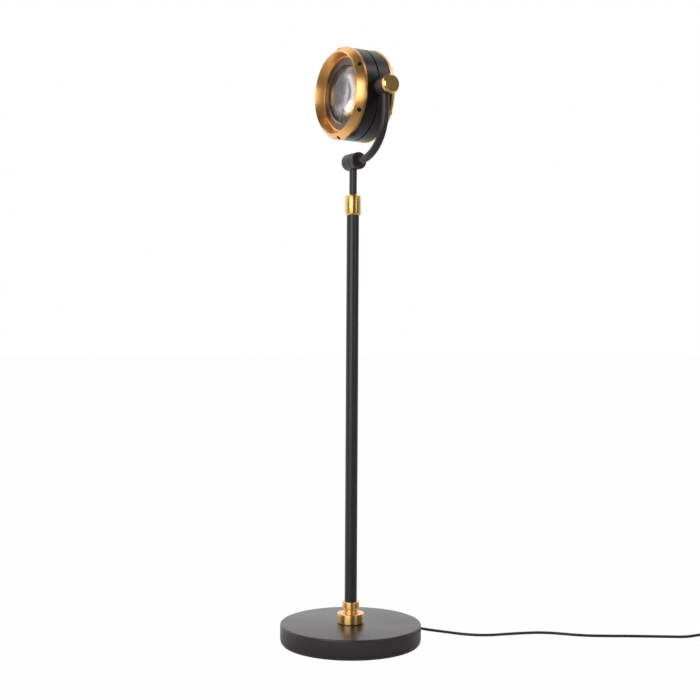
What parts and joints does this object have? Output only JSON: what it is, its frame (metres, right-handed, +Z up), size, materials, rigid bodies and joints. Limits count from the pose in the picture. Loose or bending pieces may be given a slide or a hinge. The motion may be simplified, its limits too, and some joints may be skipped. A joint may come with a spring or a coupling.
{
  "type": "floor lamp",
  "caption": "Floor lamp with a round weighted base, a height-adjustable pole and a drum-shaped spot head with a brass bezel on a bent side arm that swings and tilts.",
  "frame": {"origin": "centre of the base on the floor", "axes": "+Z up the pole, -Y the way the head faces, +X the side of the arm and the knob, +Y the side where the cord leaves"},
  "size_m": [0.6542, 0.9321, 1.2607],
  "materials": {
    "felt": "matt felt",
    "base_paint": "satin charcoal paint",
    "weight_iron": "raw casting",
    "steel": "bright zinc",
    "brass": "satin, lacquered",
    "black_paint": "satin black paint",
    "drum_paint": "satin black paint on aluminium",
    "bronze": "dark bronze anodised",
    "dark_aluminium": "black anodised",
    "bare_aluminium": "as extruded",
    "screw_black": "black oxide",
    "glass": "clear, polished dome",
    "nylon": "natural nylon",
    "board": "white board, yellow emitter",
    "friction_pad": "hard rubber",
    "cord_black": "satin PVC",
    "switch_black": "fine grain",
    "pin_brass": "bright nickel-free brass"
  },
  "bodies": {
    "stand": {"foot_pad": "felt", "foot_plate": "base_paint", "base_weight": "weight_iron", "base_cover": "base_paint", "base_washer": "steel", "base_nut": "steel", "threaded_tube": "steel", "base_ring": "brass", "pole_socket": "brass", "socket_screw": "steel", "pole": "black_paint", "pole_plug": "steel", "guide_bush": "nylon", "ferrule": "steel", "collet": "nylon", "cord_gland": "cord_black", "inner_lead": "cord_black", "terminal_block": "nylon", "cord_run": "cord_black", "cord_coil": "cord_black", "cord_tail": "cord_black", "plug_body": "switch_black", "plug_pins": "pin_brass", "switch_base": "switch_black", "switch_cover": "switch_black"},
    "collar": {"twist_collar": "brass"},
    "slide": {"slide_ring": "nylon"},
    "rod": {"rod": "black_paint", "rod_foot": "steel", "knuckle_body": "black_paint", "knuckle_cap": "black_paint"},
    "arm": {"knuckle_washer": "friction_pad", "knuckle_shaft": "steel", "knuckle_nut": "steel", "arm_hub": "black_paint", "arm_tube": "black_paint", "arm_eye": "black_paint"},
    "head": {"pivot_washer": "friction_pad", "pivot_boss": "black_paint", "pivot_nut": "steel", "drum_front_half": "drum_paint", "drum_rear_half": "drum_paint", "front_bezel": "brass", "front_screws": "screw_black", "lens_ring": "bronze", "lens": "glass", "lens_gasket": "friction_pad", "lens_clamp": "dark_aluminium", "light_cone": "dark_aluminium", "led_board": "board", "heat_sink": "bare_aluminium", "rear_bezel": "brass", "rear_screws": "screw_black", "rear_cover": "drum_paint"},
    "knob": {"knob_screw": "steel", "tilt_knob": "brass"},
    "button": {"foot_button": "switch_black"}
  },
  "joints": [
    {"name": "height", "type": "slide", "parent": "stand", "child": "slide", "axis": [0, 0, 1], "range_m": [-0.05, 0.38]},
    {"name": "swivel", "type": "hinge", "parent": "slide", "child": "rod", "pos_m": [0, 0, 0.95], "axis": [0, 0, 1], "range_deg": [-175, 175]},
    {"name": "collar_turn", "type": "hinge", "parent": "stand", "child": "collar", "pos_m": [0, 0, 0.93], "axis": [0, 0, 1], "range_deg": [0, 180]},
    {"name": "arm_tilt", "type": "hinge", "parent": "rod", "child": "arm", "pos_m": [0, 0, 1.0225], "axis": [1, 0, 0], "range_deg": [-90, 90]},
    {"name": "head_tilt", "type": "hinge", "parent": "arm", "child": "head", "pos_m": [0, 0, 1.1635], "axis": [1, 0, 0], "range_deg": [-100, 100]},
    {"name": "knob_turn", "type": "hinge", "parent": "head", "child": "knob", "pos_m": [0.14, 0, 1.1635], "axis": [1, 0, 0], "range_deg": [-180, 180]},
    {"name": "button_press", "type": "slide", "parent": "stand", "child": "button", "axis": [0, 0, -1], "range_m": [0, 0.0025], "stiffness_N_per_m": 600, "springref_m": -0.001}
  ]
}
